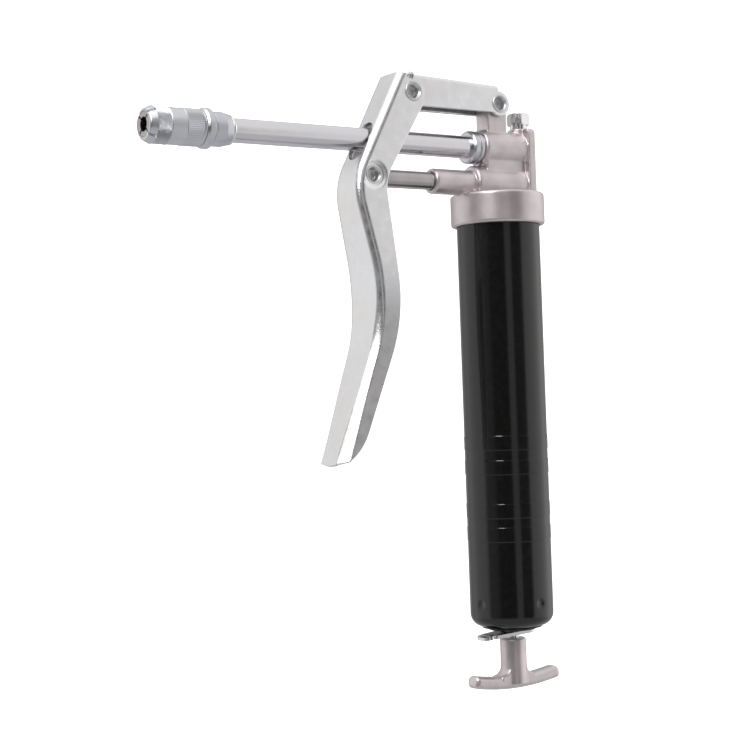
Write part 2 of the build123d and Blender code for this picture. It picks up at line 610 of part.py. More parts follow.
def lever_side_inner():
    """Side view of the space inside the lever's channel, open at the rear and at both ends."""
    corners = moved_corners(LEVER_WEB, LEVER_SHEET)
    (x0, z0), (x1, z1) = corners[0], corners[1]
    corners[0] = (x0 + (x0 - x1) * 0.2, z0 + (z0 - z1) * 0.2)
    corners[-1] = (corners[-1][0] - 2.0, corners[-1][1] - 6.0)
    radii = [LEVER_WEB_RADII[0] - LEVER_SHEET, LEVER_WEB_RADII[1] + LEVER_SHEET]
    web = FilletPolyline(*corners, radius=radii)
    far_x = PIVOT_B[0] + 20
    outline = Curve() + [
        web, Line(web @ 1, (far_x, (web @ 1).Y)), Line((far_x, (web @ 1).Y), (far_x, (web @ 0).Y)),
        Line((far_x, (web @ 0).Y), web @ 0)]
    return make_face(Plane.XZ * outline)


def lever_front(inset):
    """Front view of the lever, or of the space inside it: wide at the palm."""
    top, grip, tip = LEVER_HALF_TOP - inset, LEVER_HALF_GRIP - inset, LEVER_HALF_TIP - inset
    bottom = LEVER_WEB[-1][1] - 8
    side = Spline((top, 148), (grip, 92), (tip, bottom), tangents=((0, -1), (-0.06, -1)))
    half = Curve() + [
        Line((top, 196), (top, 148)), side, Line((tip, bottom), (0, bottom)), Line((0, bottom), (0, 196)),
        Line((0, 196), (top, 196))]
    half = make_face(Plane.YZ * half)
    return half + mirror(half, Plane.XZ)


def lever_tip_cut():
    """Front view of what is kept of the lever's rounded lower end."""
    bottom = LEVER_WEB[-1][1]
    wide = LEVER_HALF_GRIP + 4
    half = Curve() + [
        Line((wide, 196), (wide, bottom + 8)), Line((wide, bottom + 8), (LEVER_HALF_TIP + 1, bottom + 8)),
        ThreePointArc((LEVER_HALF_TIP + 1, bottom + 8), (8.8, bottom + 2.2), (0, bottom)),
        Line((0, bottom), (0, 196)), Line((0, 196), (wide, 196))]
    half = make_face(Plane.YZ * half)
    return half + mirror(half, Plane.XZ)


def round_bends(solid, radius):
    """Rounds the two edges along which a channel's web turns into its flanges."""
    web_faces = [f for f in solid.faces() if f.normal_at().X < -0.7]
    edges = [e for f in web_faces for e in f.edges() if abs(e.tangent_at(0.5).Y) < 0.5]
    return fillet(edges, radius)


def lever():
    """The squeeze lever: a channel of folded sheet, open at the rear, with a rounded lower end."""
    outer = slab(lever_side_outer(), 20) & extrude(lever_front(0), 120, both=True)
    inner = slab(lever_side_inner(), 20) & extrude(lever_front(LEVER_SHEET), 120, both=True)
    channel = round_bends(outer, LEVER_BEND_R) - round_bends(inner, LEVER_BEND_R - LEVER_SHEET)
    channel = channel & extrude(lever_tip_cut(), 120, both=True)
    return channel - lever_slot() + lever_coins() - lever_holes()


def lever_slot():
    """The long hole in the web that the delivery pipe passes through."""
    (x0, z0), (x1, z1) = LEVER_WEB[0], LEVER_WEB[1]
    lean = degrees(atan2(x0 - x1, z0 - z1))
    slot = extrude(SlotOverall(SLOT_LENGTH, SLOT_WIDTH, rotation=90), 8, both=True)
    place = Pos(point_on_web(SLOT_CENTRE_Z), 0, SLOT_CENTRE_Z)
    return place * Rot(0, lean, 0) * Rot(0, 90, 0) * Rot(0, 0, 90) * slot


def lever_coins():
    """The pads that stand inside the flanges where they are pressed in round pin C."""
    inner_y = LEVER_HALF_TOP - LEVER_SHEET + 0.3
    return rod_y(PIVOT_C, inner_y, COIN_PAD_R) - rod_y(PIVOT_C, inner_y - 0.3 - COIN_DEPTH, COIN_PAD_R + 1.0)


def lever_holes():
    """The holes for both pins and the dishes round pin C."""
    dish = rod_y(PIVOT_C, 20, COIN_R) - rod_y(PIVOT_C, LEVER_HALF_TOP - COIN_DEPTH, COIN_R + 1)
    return dish + rod_y(PIVOT_B, 20, PIN_R + PRESS_GAP) + rod_y(PIVOT_C, 20, PIN_R + PRESS_GAP)


# ---------------------------------------------------------------- build
NODES = {
    "barrel_tube": barrel_tube,
    "barrel_end_cap": barrel_end_cap,
    "follower_spring": follower_spring,
    "latch_spring": latch_spring,
    "latch_plate": latch_plate,
    "follower_cup": follower_cup,
    "follower_plate": follower_plate,
    "follower_rod": follower_rod,
    "rod_clip": rod_clip,
    "t_handle": t_handle,
    "head_gasket": head_gasket,
    "head_casting": head_casting,
    "plunger_packing": plunger_packing,
    "check_ball": check_ball,
    "check_spring": check_spring,
    "pipe_collar": pipe_collar,
    "delivery_pipe": delivery_pipe,
    "valve_body": valve_body,
    "valve_pin": valve_pin,
    "valve_spring": valve_spring,
    "coupler_body": coupler_body,
    "coupler_ring": coupler_ring,
    "coupler_sleeve": coupler_sleeve,
    "coupler_jaws": coupler_jaws,
    "coupler_seal": coupler_seal,
    "coupler_spring": coupler_spring,
    "plunger": plunger,
    "plunger_pin": plunger_pin,
    "lever_link_pin": lever_link_pin,
    "link_head_pin": link_head_pin,
    "link": link,
    "lever": lever,
}

os.makedirs("parts", exist_ok=True)
for name, make in NODES.items():
    solid = make()
    export_step(solid, os.path.join("parts", name + ".step"))
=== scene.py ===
import json
import math

import bmesh
import bpy
import numpy as np
from mathutils import Matrix, Vector


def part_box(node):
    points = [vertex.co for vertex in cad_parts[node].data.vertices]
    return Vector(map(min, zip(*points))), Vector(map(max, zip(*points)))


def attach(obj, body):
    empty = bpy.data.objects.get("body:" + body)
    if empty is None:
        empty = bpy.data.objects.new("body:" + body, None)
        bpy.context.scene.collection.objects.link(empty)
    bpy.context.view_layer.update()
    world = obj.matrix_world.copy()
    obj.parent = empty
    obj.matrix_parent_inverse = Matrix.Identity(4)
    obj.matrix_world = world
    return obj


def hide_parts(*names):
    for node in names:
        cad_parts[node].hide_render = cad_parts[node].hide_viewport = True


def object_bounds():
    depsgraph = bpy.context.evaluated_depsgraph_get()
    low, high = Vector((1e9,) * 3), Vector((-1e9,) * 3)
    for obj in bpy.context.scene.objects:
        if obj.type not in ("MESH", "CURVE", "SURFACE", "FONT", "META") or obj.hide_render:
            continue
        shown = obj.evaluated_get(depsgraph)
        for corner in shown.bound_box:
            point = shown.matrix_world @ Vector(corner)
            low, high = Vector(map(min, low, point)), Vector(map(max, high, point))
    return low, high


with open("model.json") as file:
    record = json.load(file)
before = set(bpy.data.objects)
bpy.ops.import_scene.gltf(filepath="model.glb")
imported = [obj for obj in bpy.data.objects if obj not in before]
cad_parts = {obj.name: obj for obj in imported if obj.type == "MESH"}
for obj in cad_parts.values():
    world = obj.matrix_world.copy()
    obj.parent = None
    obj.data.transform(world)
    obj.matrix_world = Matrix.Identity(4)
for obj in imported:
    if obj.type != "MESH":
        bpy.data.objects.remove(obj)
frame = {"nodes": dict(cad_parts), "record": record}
cad_low, cad_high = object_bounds()

# A small grease gun.  Lengths are millimetres until a mesh is made, and MM turns them into metres.
MM = 0.001


def box_mm(node):
    """Lowest and highest corner of a CAD node, in millimetres."""
    low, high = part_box(node)
    return low / MM, high / MM


# ---------------------------------------------------------------- sizes
TUBE_LOW, TUBE_HIGH = box_mm("barrel_tube")
BARREL_R = 19.0
BARREL_WALL = 1.3
BARREL_BEND_R = 6.0
BARREL_MOUTH_R = 14.0
BAND_CENTRES = (20.8, 9.8, -9.8, -20.4)
BAND_HALF = 3.0
KNURL_RISE = 0.15
KNURL_DEPTH = 0.05
BAND_MARGINS = (1.4, 0.7, 0.3)    # rows of vertices beside a band, which keep its reflections even
BARREL_COLUMNS = 240
CRIMP_Z = -51.9
CRIMP_ANGLES = (6, 96, 186, 276)
CRIMP_R = 2.6
CRIMP_DEPTH = 0.7
ROD_TRAVEL = 115.0                # how far the T-handle is pulled out

PIPE_LOW, PIPE_HIGH = box_mm("delivery_pipe")
PIPE_R = (PIPE_HIGH.z - PIPE_LOW.z) / 2
PIPE_Z = (PIPE_HIGH.z + PIPE_LOW.z) / 2
PIPE_BORE_R = 2.6

SLEEVE_LOW, SLEEVE_HIGH = box_mm("coupler_sleeve")
SLEEVE_R = (SLEEVE_HIGH.z - SLEEVE_LOW.z) / 2
NOSE_X = SLEEVE_LOW.x
SLEEVE_COLUMNS = 128
SLEEVE_BORE_R = 6.35
SLEEVE_GROOVE = 0.2               # how deep the plain band and the lathe grooves lie
SLEEVE_KNURL_DEPTH = 0.13
SLEEVE_KNURL_LIFT = 0.10
CONE_REAR_X = -175.2
MOUTH_REAR_X = -173.6
MOUTH_R = 5.3
CONE_START_R = 6.55
DIAMOND_REAR_X = -168.6
BAND_REAR_X = -161.8
NOTCH_COUNT = 4
NOTCH_HALF_WIDTH = 0.62
NOTCH_LENGTH = 2.7
NOTCH_DEPTH = 1.0
ADAPTER_COLLAR_X = -153.0
ADAPTER_COLLAR_R = 8.4
ADAPTER_NUT_R = 7.2
LOCK_NUT_R = 7.5
LOCK_NUT_GROOVE_R = 6.8
TURNED_GAP = 0.02                 # between a turned piece and the pipe in it

PIVOT_A = (-1.6, 175.6)        # link to head (x, z)
PIVOT_B = (-51.5, 177.0)       # lever to link
PIVOT_C = (-73.6, 139.25)      # lever to plunger

LEVER_SHEET = 1.8
LEVER_SECTIONS = 300
LEVER_WEB = ((-58.0, 185.7), (-84.3, 135.9), (-72.4, 80.9), (-96.8, 14.6))
LEVER_WEB_RADII = (28.0, 80.0)
LEVER_REAR = ((-47.0, 170.6), (-68.0, 137.2), (-63.2, 77.0), (-87.6, 14.6))
LEVER_TIP_START = 0.80         # share of the lever above its spoon-like tip
LEVER_TIP_LIFT = 0.080         # share of the lever in which the flanges round in to the web
LEVER_REAR_RADII = (20.0, 80.0)
LEVER_EAR_R = 5.8
LEVER_HALF_WIDTHS = ((196.0, 9.25), (148.0, 9.25), (92.0, 12.0), (14.0, 10.4))
# (height, value) pairs down the lever: how far the flanges lean out, the outer radius of the two long
# bends, and the shape of those bends, where 0 is an arc and 1 is a chamfer.
LEVER_FLARES = ((196.0, 0.0), (112.0, 0.0), (70.0, 0.10), (14.0, 0.10))
LEVER_BEND_RADII = ((196.0, 3.6), (110.0, 3.6), (80.0, 3.2), (60.0, 3.0), (14.0, 4.6))
LEVER_BEND_FLATNESS = ((196.0, 0.0), (92.0, 0.0), (60.0, 0.8), (14.0, 0.8))
SLOT_CENTRE_Z = 155.0
SLOT_WIDTH = 11.9
SLOT_LENGTH = 19.0
RIVET_HOLE_R = 3.25
COIN_R = 5.2                   # the pressed-in round seat at the plunger's rivet
COIN_RIM = 1.2
COIN_SLOPE = 1.6
COIN_DEPTH = 0.8

RIVET_R = 3.2
RIVET_BORE_R = 2.75
RIVET_BORE_DEPTH = 3.4
RIVET_HEAD_THICKNESS = 0.5
RIVET_SEAT = 0.7               # from the end of a CAD pin in to the sheet under its head


# ---------------------------------------------------------------- mesh helpers
def edit_mesh(mesh, *changes):
    """Makes changes to a mesh in turn, each a function of the mesh opened for editing."""
    work = bmesh.new()
    work.from_mesh(mesh)
    for change in changes:
        change(work)
    work.to_mesh(mesh)
    work.free()


def merge_doubles(work):
    """Joins vertices that lie on one another."""
    bmesh.ops.remove_doubles(work, verts=work.verts, dist=1e-7)


def drop_empty_faces(work):
    """Removes faces and edges that have no size, as at the middle of a turned disc."""
    bmesh.ops.dissolve_degenerate(work, dist=1e-7, edges=work.edges)


def face_outwards(work):
    """Turns every normal outwards."""
    bmesh.ops.recalc_face_normals(work, faces=work.faces)


def bare_object(name, vertices, faces):
    """A mesh object from millimetre vertices, as given."""
    mesh = bpy.data.meshes.new(name)
    mesh.from_pydata([tuple(c * MM for c in v) for v in vertices], [], faces)
    obj = bpy.data.objects.new(name, mesh)
    bpy.context.scene.collection.objects.link(obj)
    return obj


def new_object(name, vertices, faces):
    """A mesh object from millimetre vertices, with doubles joined and its normals pointing outwards."""
    obj = bare_object(name, vertices, faces)
    edit_mesh(obj.data, merge_doubles, face_outwards)
    return obj


def smooth(obj, sharp_angle=35):
    """Smooth shading, with edges sharper than the angle left sharp."""
    for polygon in obj.data.polygons:
        polygon.use_smooth = True
    obj.data.set_sharp_from_angle(angle=math.radians(sharp_angle))


def apply_modifiers(obj):
    """Replaces an object's mesh by what its modifiers make of it."""
    bpy.context.view_layer.update()
    graph = bpy.context.evaluated_depsgraph_get()
    made = bpy.data.meshes.new_from_object(obj.evaluated_get(graph))
    obj.modifiers.clear()
    obj.data = made


def add_modifier(obj, kind, **settings):
    """Adds a modifier of a kind with its settings."""
    modifier = obj.modifiers.new(kind.lower(), kind)
    for key, value in settings.items():
        setattr(modifier, key, value)


def weighted_normals(obj):
    """Makes large faces decide the shading, so that they look flat up to their rounded edges."""
    add_modifier(obj, "WEIGHTED_NORMAL", keep_sharp=True, weight=50)


def settle(obj, material, body, slot, *nodes):
    """Gives a new piece its material and its body, and hides the CAD nodes that it stands for.  The slot is
    not used.
    """
    obj.data.materials.clear()
    obj.data.materials.append(material)
    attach(obj, body)
    if nodes:
        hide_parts(*nodes)


def rounded(corners, radius=0.25, steps=4, closed=True):
    """A profile of (along, radius) points whose corners are rounded.  A corner may carry its own radius."""
    points = [np.array(c[:2], float) for c in corners]
    radii = [c[2] if len(c) > 2 else radius for c in corners]
    out = []
    count = len(points)
    for i, here in enumerate(points):
        if not closed and i in (0, count - 1) or radii[i] == 0:
            out.append(tuple(here))
            continue
        before, after = points[i - 1], points[(i + 1) % count]
        back, ahead = before - here, after - here
        back_length, ahead_length = np.linalg.norm(back), np.linalg.norm(ahead)
        back, ahead = back / back_length, ahead / ahead_length
        half = math.acos(max(-1, min(1, float(back @ ahead)))) / 2
        cut = min(radii[i] / max(math.tan(half), 1e-3), 0.45 * back_length, 0.45 * ahead_length)
        start, end = here + back * cut, here + ahead * cut
        for k in range(steps + 1):
            t = k / steps
            out.append(tuple((1 - t) ** 2 * start + 2 * t * (1 - t) * here + t * t * end))
    return out


def placed(axis, centre, along, radius, angle):
    """The point at a place along a lathe's axis, at a radius and an angle round it."""
    a, b = radius * math.cos(angle), radius * math.sin(angle)
    if axis == "X":
        return (along, centre[0] + a, centre[1] + b)
    if axis == "Y":
        return (centre[0] + a, along, centre[1] + b)
    return (centre[0] + a, centre[1] + b, along)


def lathe(name, profile, axis="X", centre=(0.0, 0.0), columns=96):
    """A turned piece from its closed profile of (along, radius) points."""
    vertices = [placed(axis, centre, a, max(r, 0.0), 2 * math.pi * j / columns)
                for a, r in profile for j in range(columns)]
    rows = len(profile)
    faces = []
    for i in range(rows):
        for j in range(columns):
            k, m = (i + 1) % rows, (j + 1) % columns
            faces.append((i * columns + j, i * columns + m, k * columns + m, k * columns + j))
    obj = new_object(name, vertices, faces)
    edit_mesh(obj.data, drop_empty_faces, face_outwards)
    smooth(obj)
    weighted_normals(obj)
    return obj


def knurled_lathe(name, rows, axis, centre, columns, relief):
    """A turned piece whose rows are (along, radius, lift, style).  A diamond or straight knurl is lifted and
    sunk by lift.  relief(along, angle, radius) is cut off the radius."""
    vertices, high = [], []
    for i, (along, radius, lift, style) in enumerate(rows):
        for j in range(columns):
            angle = 2 * math.pi * j / columns
            up = (i + j) % 2 == 0 if style == "diamond" else j % 2 == 0
            r = radius + (lift if up else -lift) if style else radius
            r -= relief(along, angle, r)
            vertices.append(placed(axis, centre, along, r, angle))
            high.append(up)
    faces, flat = [], []
    count = len(rows)
    for i in range(count):
        k = (i + 1) % count
        diamond = rows[i][3] == "diamond" and rows[k][3] == "diamond"
        cut = bool(rows[i][3]) and bool(rows[k][3])
        for j in range(columns):
            m = (j + 1) % columns
            corners = (i * columns + j, i * columns + m, k * columns + m, k * columns + j)
            if not diamond:
                faces.append(corners)
                flat.append(cut)
                continue
            a, b, c, d = corners
            faces += [(b, c, d), (b, d, a)] if high[a] else [(a, b, c), (a, c, d)]
            flat += [True, True]
    obj = bare_object(name, vertices, faces)
    for polygon, is_flat in zip(obj.data.polygons, flat):
        polygon.use_smooth = not is_flat
    edit_mesh(obj.data, face_outwards)
    obj.data.set_sharp_from_angle(angle=math.radians(35))
    return obj


def arc_path(corners, radii, step=0.6):
    """Evenly spaced points along a line whose inner corners are arcs."""
    points = [np.array(c, float) for c in corners]
    dense = [points[0]]
    for before, here, after, radius in zip(points, points[1:], points[2:], radii):
        back = (before - here) / np.linalg.norm(before - here)
        ahead = (after - here) / np.linalg.norm(after - here)
        half = math.acos(float(back @ ahead)) / 2
        cut = radius / math.tan(half)
        start, end = here + back * cut, here + ahead * cut
        centre = here + (back + ahead) / np.linalg.norm(back + ahead) * radius / math.sin(half)
        a, b = start - centre, end - centre
        turn = math.acos(float(a @ b) / radius ** 2)
        for k in range(25):
            t = k / 24
            dense.append(centre + (a * math.sin((1 - t) * turn) + b * math.sin(t * turn)) / math.sin(turn))
    dense.append(points[-1])
    dense = np.array(dense)
    lengths = np.concatenate([[0], np.cumsum(np.linalg.norm(np.diff(dense, axis=0), axis=1))])
    places = np.linspace(0, lengths[-1], int(lengths[-1] / step) + 1)
    return np.stack([np.interp(places, lengths, dense[:, k]) for k in (0, 1)], axis=1)


def eased(value, table):
    """A smooth value between the (place, value) pairs of a table, whose places fall."""
    for (high, at_high), (low, at_low) in zip(table, table[1:]):
        if value >= low:
            t = min(max((high - value) / (high - low), 0.0), 1.0)
            return at_high + (at_low - at_high) * t * t * (3 - 2 * t)
    return table[-1][1]


# ---------------------------------------------------------------- materials
class Nodes:
    """A material's node tree, with short ways to add what the metals and rubbers share."""

    def __init__(self, name):
        self.material = bpy.data.materials.new(name)
        self.material.use_nodes = True
        self.tree = self.material.node_tree
        self.shader = self.tree.nodes["Principled BSDF"]
        self.place = self.add("ShaderNodeTexCoord").outputs["Object"]

    def add(self, kind, **settings):
        """Adds a node of a kind with its settings."""
        node = self.tree.nodes.new(kind)
        for key, value in settings.items():
            setattr(node, key, value)
        return node

    def link(self, source, target):
        """Joins an output socket to an input socket."""
        self.tree.links.new(source, target)

    def set(self, **values):
        """Sets inputs of the surface shader, with _ for each space in a name."""
        for key, value in values.items():
            self.shader.inputs[key.replace("_", " ")].default_value = value

    def noise(self, scale, detail=3.0, stretch=(1, 1, 1), roughness=0.5):
        """A noise of so many lumps a metre, stretched along the axes where stretch is under 1."""
        mapping = self.add("ShaderNodeMapping")
        mapping.inputs["Scale"].default_value = stretch
        noise = self.add("ShaderNodeTexNoise")
        noise.inputs["Scale"].default_value = scale
        noise.inputs["Detail"].default_value = detail
        noise.inputs["Roughness"].default_value = roughness
        self.link(self.place, mapping.inputs["Vector"])
        self.link(mapping.outputs["Vector"], noise.inputs["Vector"])
        return noise.outputs["Fac"]

    def spread(self, source, low, high, start=0.35, end=0.65):
        """A value that goes from low to high as the source goes from start to end."""
        span = self.add("ShaderNodeMapRange")
        span.inputs["From Min"].default_value = start
        span.inputs["From Max"].default_value = end
        span.inputs["To Min"].default_value = low
        span.inputs["To Max"].default_value = high
        self.link(source, span.inputs["Value"])
        return span.outputs["Result"]

    def mixed(self, factor, first, second):
        """A colour between two colours, each a triple or a socket."""
        mix = self.add("ShaderNodeMix", data_type="RGBA")
        self.link(factor, mix.inputs["Factor"])
        for socket, colour in ((mix.inputs[6], first), (mix.inputs[7], second)):
            if isinstance(colour, tuple):
                socket.default_value = (*colour, 1)
            else:
                self.link(colour, socket)
        return mix.outputs[2]

    def bumps(self, *layers):
        """Bump from (height socket, strength, depth in millimetres) layers, one on another."""
        normal = None
        for height, strength, depth in layers:
            bump = self.add("ShaderNodeBump")
            bump.inputs["Strength"].default_value = strength
            bump.inputs["Distance"].default_value = depth * MM
            self.link(height, bump.inputs["Height"])
            if normal is not None:
                self.link(normal, bump.inputs["Normal"])
            normal = bump.outputs["Normal"]
        self.link(normal, self.shader.inputs["Normal"])


def metal(name, light, dark, rough, grain=(1, 1, 1), bump=0.02):
    """Plated or bare metal: two close colours in large patches, a grain in roughness, a soft wide bump."""
    n = Nodes(name)
    patches = n.spread(n.noise(60, 2), 0, 1, 0.3, 0.7)
    n.link(n.mixed(patches, light, dark), n.shader.inputs["Base Color"])
    n.set(Metallic=1.0)
    fine = n.noise(2500, 2, grain, 0.6)
    wide = n.noise(240, 3)
    rough_patch = n.spread(wide, rough * 0.85, rough * 1.2, 0.3, 0.7)
    rough_grain = n.spread(fine, 0.94, 1.06, 0.3, 0.7)
    product = n.add("ShaderNodeMath", operation="MULTIPLY")
    n.link(rough_patch, product.inputs[0])
    n.link(rough_grain, product.inputs[1])
    n.link(product.outputs["Value"], n.shader.inputs["Roughness"])
    n.bumps((wide, 0.05, bump * 3))
    return n.material


def black_paint():
    """Gloss black enamel with a faint orange peel, a little greyer in patches."""
    n = Nodes("black_paint")
    dusty = n.spread(n.noise(350, 4), 0, 1, 0.45, 0.8)
    n.link(n.mixed(dusty, (0.0055, 0.0052, 0.005), (0.010, 0.0095, 0.009)), n.shader.inputs["Base Color"])
    n.link(n.spread(n.noise(500, 3), 0.10, 0.17), n.shader.inputs["Roughness"])
    n.set(Metallic=0.0, IOR=1.5)
    n.bumps((n.noise(900, 2), 0.04, 0.02), (n.noise(160, 2), 0.03, 0.05))
    return n.material


def rubber():
    """Matt black nitrile rubber."""
    n = Nodes("rubber")
    n.link(n.mixed(n.noise(800, 3), (0.012, 0.012, 0.012), (0.03, 0.03, 0.03)), n.shader.inputs["Base Color"])
    n.link(n.spread(n.noise(1500, 4), 0.55, 0.75), n.shader.inputs["Roughness"])
    n.bumps((n.noise(3000, 3), 0.3, 0.03))
    return n.material


def cast_metal():
    """Satin die casting, faintly warm, with a fine skin under a thin gloss."""
    n = Nodes("cast_metal")
    patches = n.spread(n.noise(120, 3), 0, 1, 0.35, 0.65)
    n.link(n.mixed(patches, (0.66, 0.59, 0.60), (0.55, 0.50, 0.51)), n.shader.inputs["Base Color"])
    n.set(Metallic=1.0, Coat_Weight=0.5, Coat_IOR=2.0, Coat_Roughness=0.18)
    n.link(n.spread(n.noise(1800, 4), 0.38, 0.52), n.shader.inputs["Roughness"])
    n.bumps((n.noise(420, 3), 0.2, 0.10))
    return n.material


DRAWN = (0.05, 1, 1)       # grain along the X axis
TURNED = (1, 0.1, 0.1)     # grain round the X axis
MATERIALS = {
    "black_paint": black_paint(),
    "rubber": rubber(),
    "cast_metal": cast_metal(),
    "zinc_sheet": metal("zinc_sheet", (0.76, 0.775, 0.80), (0.75, 0.745, 0.74), 0.30, bump=0.004),
    "bright_plate": metal("bright_plate", (0.80, 0.80, 0.81), (0.74, 0.74, 0.76), 0.17),
    "chrome_pipe": metal("chrome_pipe", (0.66, 0.64, 0.65), (0.62, 0.62, 0.65), 0.15, DRAWN, bump=0.008),
    "nickel": metal("nickel", (0.62, 0.63, 0.65), (0.54, 0.55, 0.58), 0.33, TURNED),
    "polished_steel": metal("polished_steel", (0.47, 0.44, 0.44), (0.40, 0.37, 0.375), 0.24, DRAWN),
    "rivet": metal("rivet", (0.66, 0.67, 0.69), (0.60, 0.60, 0.60), 0.42),
    "spring_steel": metal("spring_steel", (0.35, 0.35, 0.37), (0.27, 0.27, 0.29), 0.33),
}
SLOT_OF = {part["node"]: part["material_slot"] for part in frame["record"]["subparts"]}
BODY_OF = {node: body for body, nodes in frame["record"]["behaviour"]["bodies"].items() for node in nodes}


def stands_for(obj, node):
    """Settles a new piece that stands for one CAD node, in that node's body and material."""
    settle(obj, MATERIALS[SLOT_OF[node]], BODY_OF[node], SLOT_OF[node], node)


def finish_cad_nodes():
    """Every CAD node gets its procedural material, and every one but the springs a fine bevel on its sharp
    edges.
    """
    for node, obj in frame["nodes"].items():
        obj.data.materials.clear()
        obj.data.materials.append(MATERIALS[SLOT_OF[node]])
        if "spring" not in node:
            add_modifier(obj, "WELD", merge_threshold=1e-6)
            add_modifier(obj, "DECIMATE", decimate_type="DISSOLVE", angle_limit=math.radians(0.3))
            add_modifier(obj, "BEVEL", width=0.00018, segments=2, limit_method="ANGLE",
                         angle_limit=math.radians(38), harden_normals=False)
            weighted_normals(obj)


# ---------------------------------------------------------------- barrel
def barrel_rows():
    """The barrel's closed profile: down the outside, round the lower end and up the bore."""
    top = TUBE_HIGH.z
    bottom = TUBE_LOW.z
    half_pitch = math.pi * BARREL_R / BARREL_COLUMNS
    rows = [(top, BARREL_R - 0.3, 0, ""), (top - 0.3, BARREL_R, 0, "")]
    for centre in BAND_CENTRES:
        count = int(2 * BAND_HALF / half_pitch)
        edge = count * half_pitch / 2
        rows += [(centre + edge + away, BARREL_R, 0, "") for away in BAND_MARGINS]
        rows += [(centre + edge + 0.12, BARREL_R + KNURL_RISE * 0.6, 0, "")]
        middle = BARREL_R + KNURL_RISE - KNURL_DEPTH / 2
        rows += [(centre + edge - k * half_pitch, middle, KNURL_DEPTH / 2, "diamond")
                 for k in range(count + 1)]
        rows += [(centre - edge - 0.12, BARREL_R + KNURL_RISE * 0.6, 0, "")]
        rows += [(centre - edge - away, BARREL_R, 0, "") for away in reversed(BAND_MARGINS)]
    rows += [(z, BARREL_R, 0, "") for z in np.linspace(CRIMP_Z + 3, CRIMP_Z - 3, 21)]
    bend_z = bottom + BARREL_BEND_R
    inner = BARREL_BEND_R - BARREL_WALL
    centre_r = BARREL_R - BARREL_BEND_R
    last = math.asin((BARREL_MOUTH_R - centre_r) / (BARREL_BEND_R - BARREL_WALL / 2))
    turns = [math.pi / 2 - (math.pi / 2 - last) * k / 14 for k in range(15)]
    for radius, angles in ((BARREL_BEND_R, turns), (inner, reversed(turns))):
        rows += [(bend_z - radius * math.cos(a), centre_r + radius * math.sin(a), 0, "") for a in angles]
    rows += [(z, BARREL_R - BARREL_WALL, 0, "") for z in (CRIMP_Z - 3.5, CRIMP_Z, CRIMP_Z + 3.5)]
    return rows + [(top, BARREL_R - BARREL_WALL, 0, "")]


def crimp_relief(z, angle, radius):
    """How far the crimp marks are pressed into the outside of the tube."""
    if radius < BARREL_R - 0.01 or abs(z - CRIMP_Z) > CRIMP_R:
        return 0.0
    for mark in CRIMP_ANGLES:
        turn = (angle - math.radians(mark) + math.pi) % (2 * math.pi) - math.pi
        away = math.hypot(z - CRIMP_Z, turn * BARREL_R) / CRIMP_R
        if away < 1:
            return CRIMP_DEPTH * (1 - away * away) ** 1.5
    return 0.0


def barrel():
    """The black tube, with its knurled bands and crimp marks."""
    obj = knurled_lathe("barrel_skin", barrel_rows(), "Z", (0.0, 0.0), BARREL_COLUMNS, crimp_relief)
    stands_for(obj, "barrel_tube")


# ---------------------------------------------------------------- lever
def lever_curves():
    """The lever's web line and rear edge in side view, point for point."""
    web = arc_path(LEVER_WEB, LEVER_WEB_RADII)
    ear_top = (PIVOT_B[0] - 1.2, LEVER_WEB[0][1] - 1.8)
    angles = np.linspace(math.atan2(ear_top[1] - PIVOT_B[1], ear_top[0] - PIVOT_B[0]), -0.2, 14)
    radii = np.linspace(math.dist(ear_top, PIVOT_B), LEVER_EAR_R, 14)
    ear = [(PIVOT_B[0] + r * math.cos(a), PIVOT_B[1] + r * math.sin(a)) for a, r in zip(angles, radii)]
    rear = arc_path(LEVER_REAR, LEVER_REAR_RADII)
    return web, np.array(ear + [tuple(p) for p in rear])


def sampler(points):
    """A function from a share of a line's length to its point."""
    lengths = np.concatenate([[0], np.cumsum(np.linalg.norm(np.diff(points, axis=0), axis=1))])
    lengths /= lengths[-1]
    return lambda t: np.array([np.interp(t, lengths, points[:, k]) for k in (0, 1)])


def lever_section(half_width, bend, depth, flatness=0.0):
    """Half of the channel's outer section as (depth, y) from the middle of the web to the flange's edge."""
    flat = [(0.0, (half_width - bend) * k / 12) for k in range(12)]
    turn = []
    for k in range(11):
        a = math.pi / 2 * k / 10
        in_arc, across_arc = bend * (1 - math.cos(a)), bend * math.sin(a)
        in_line = across_line = bend * k / 10
        turn.append((in_arc + (in_line - in_arc) * flatness,
                     half_width - bend + across_arc + (across_line - across_arc) * flatness))
    side = [(bend + (depth - bend) * k / 22, half_width) for k in range(1, 23)]
    return flat + turn + side


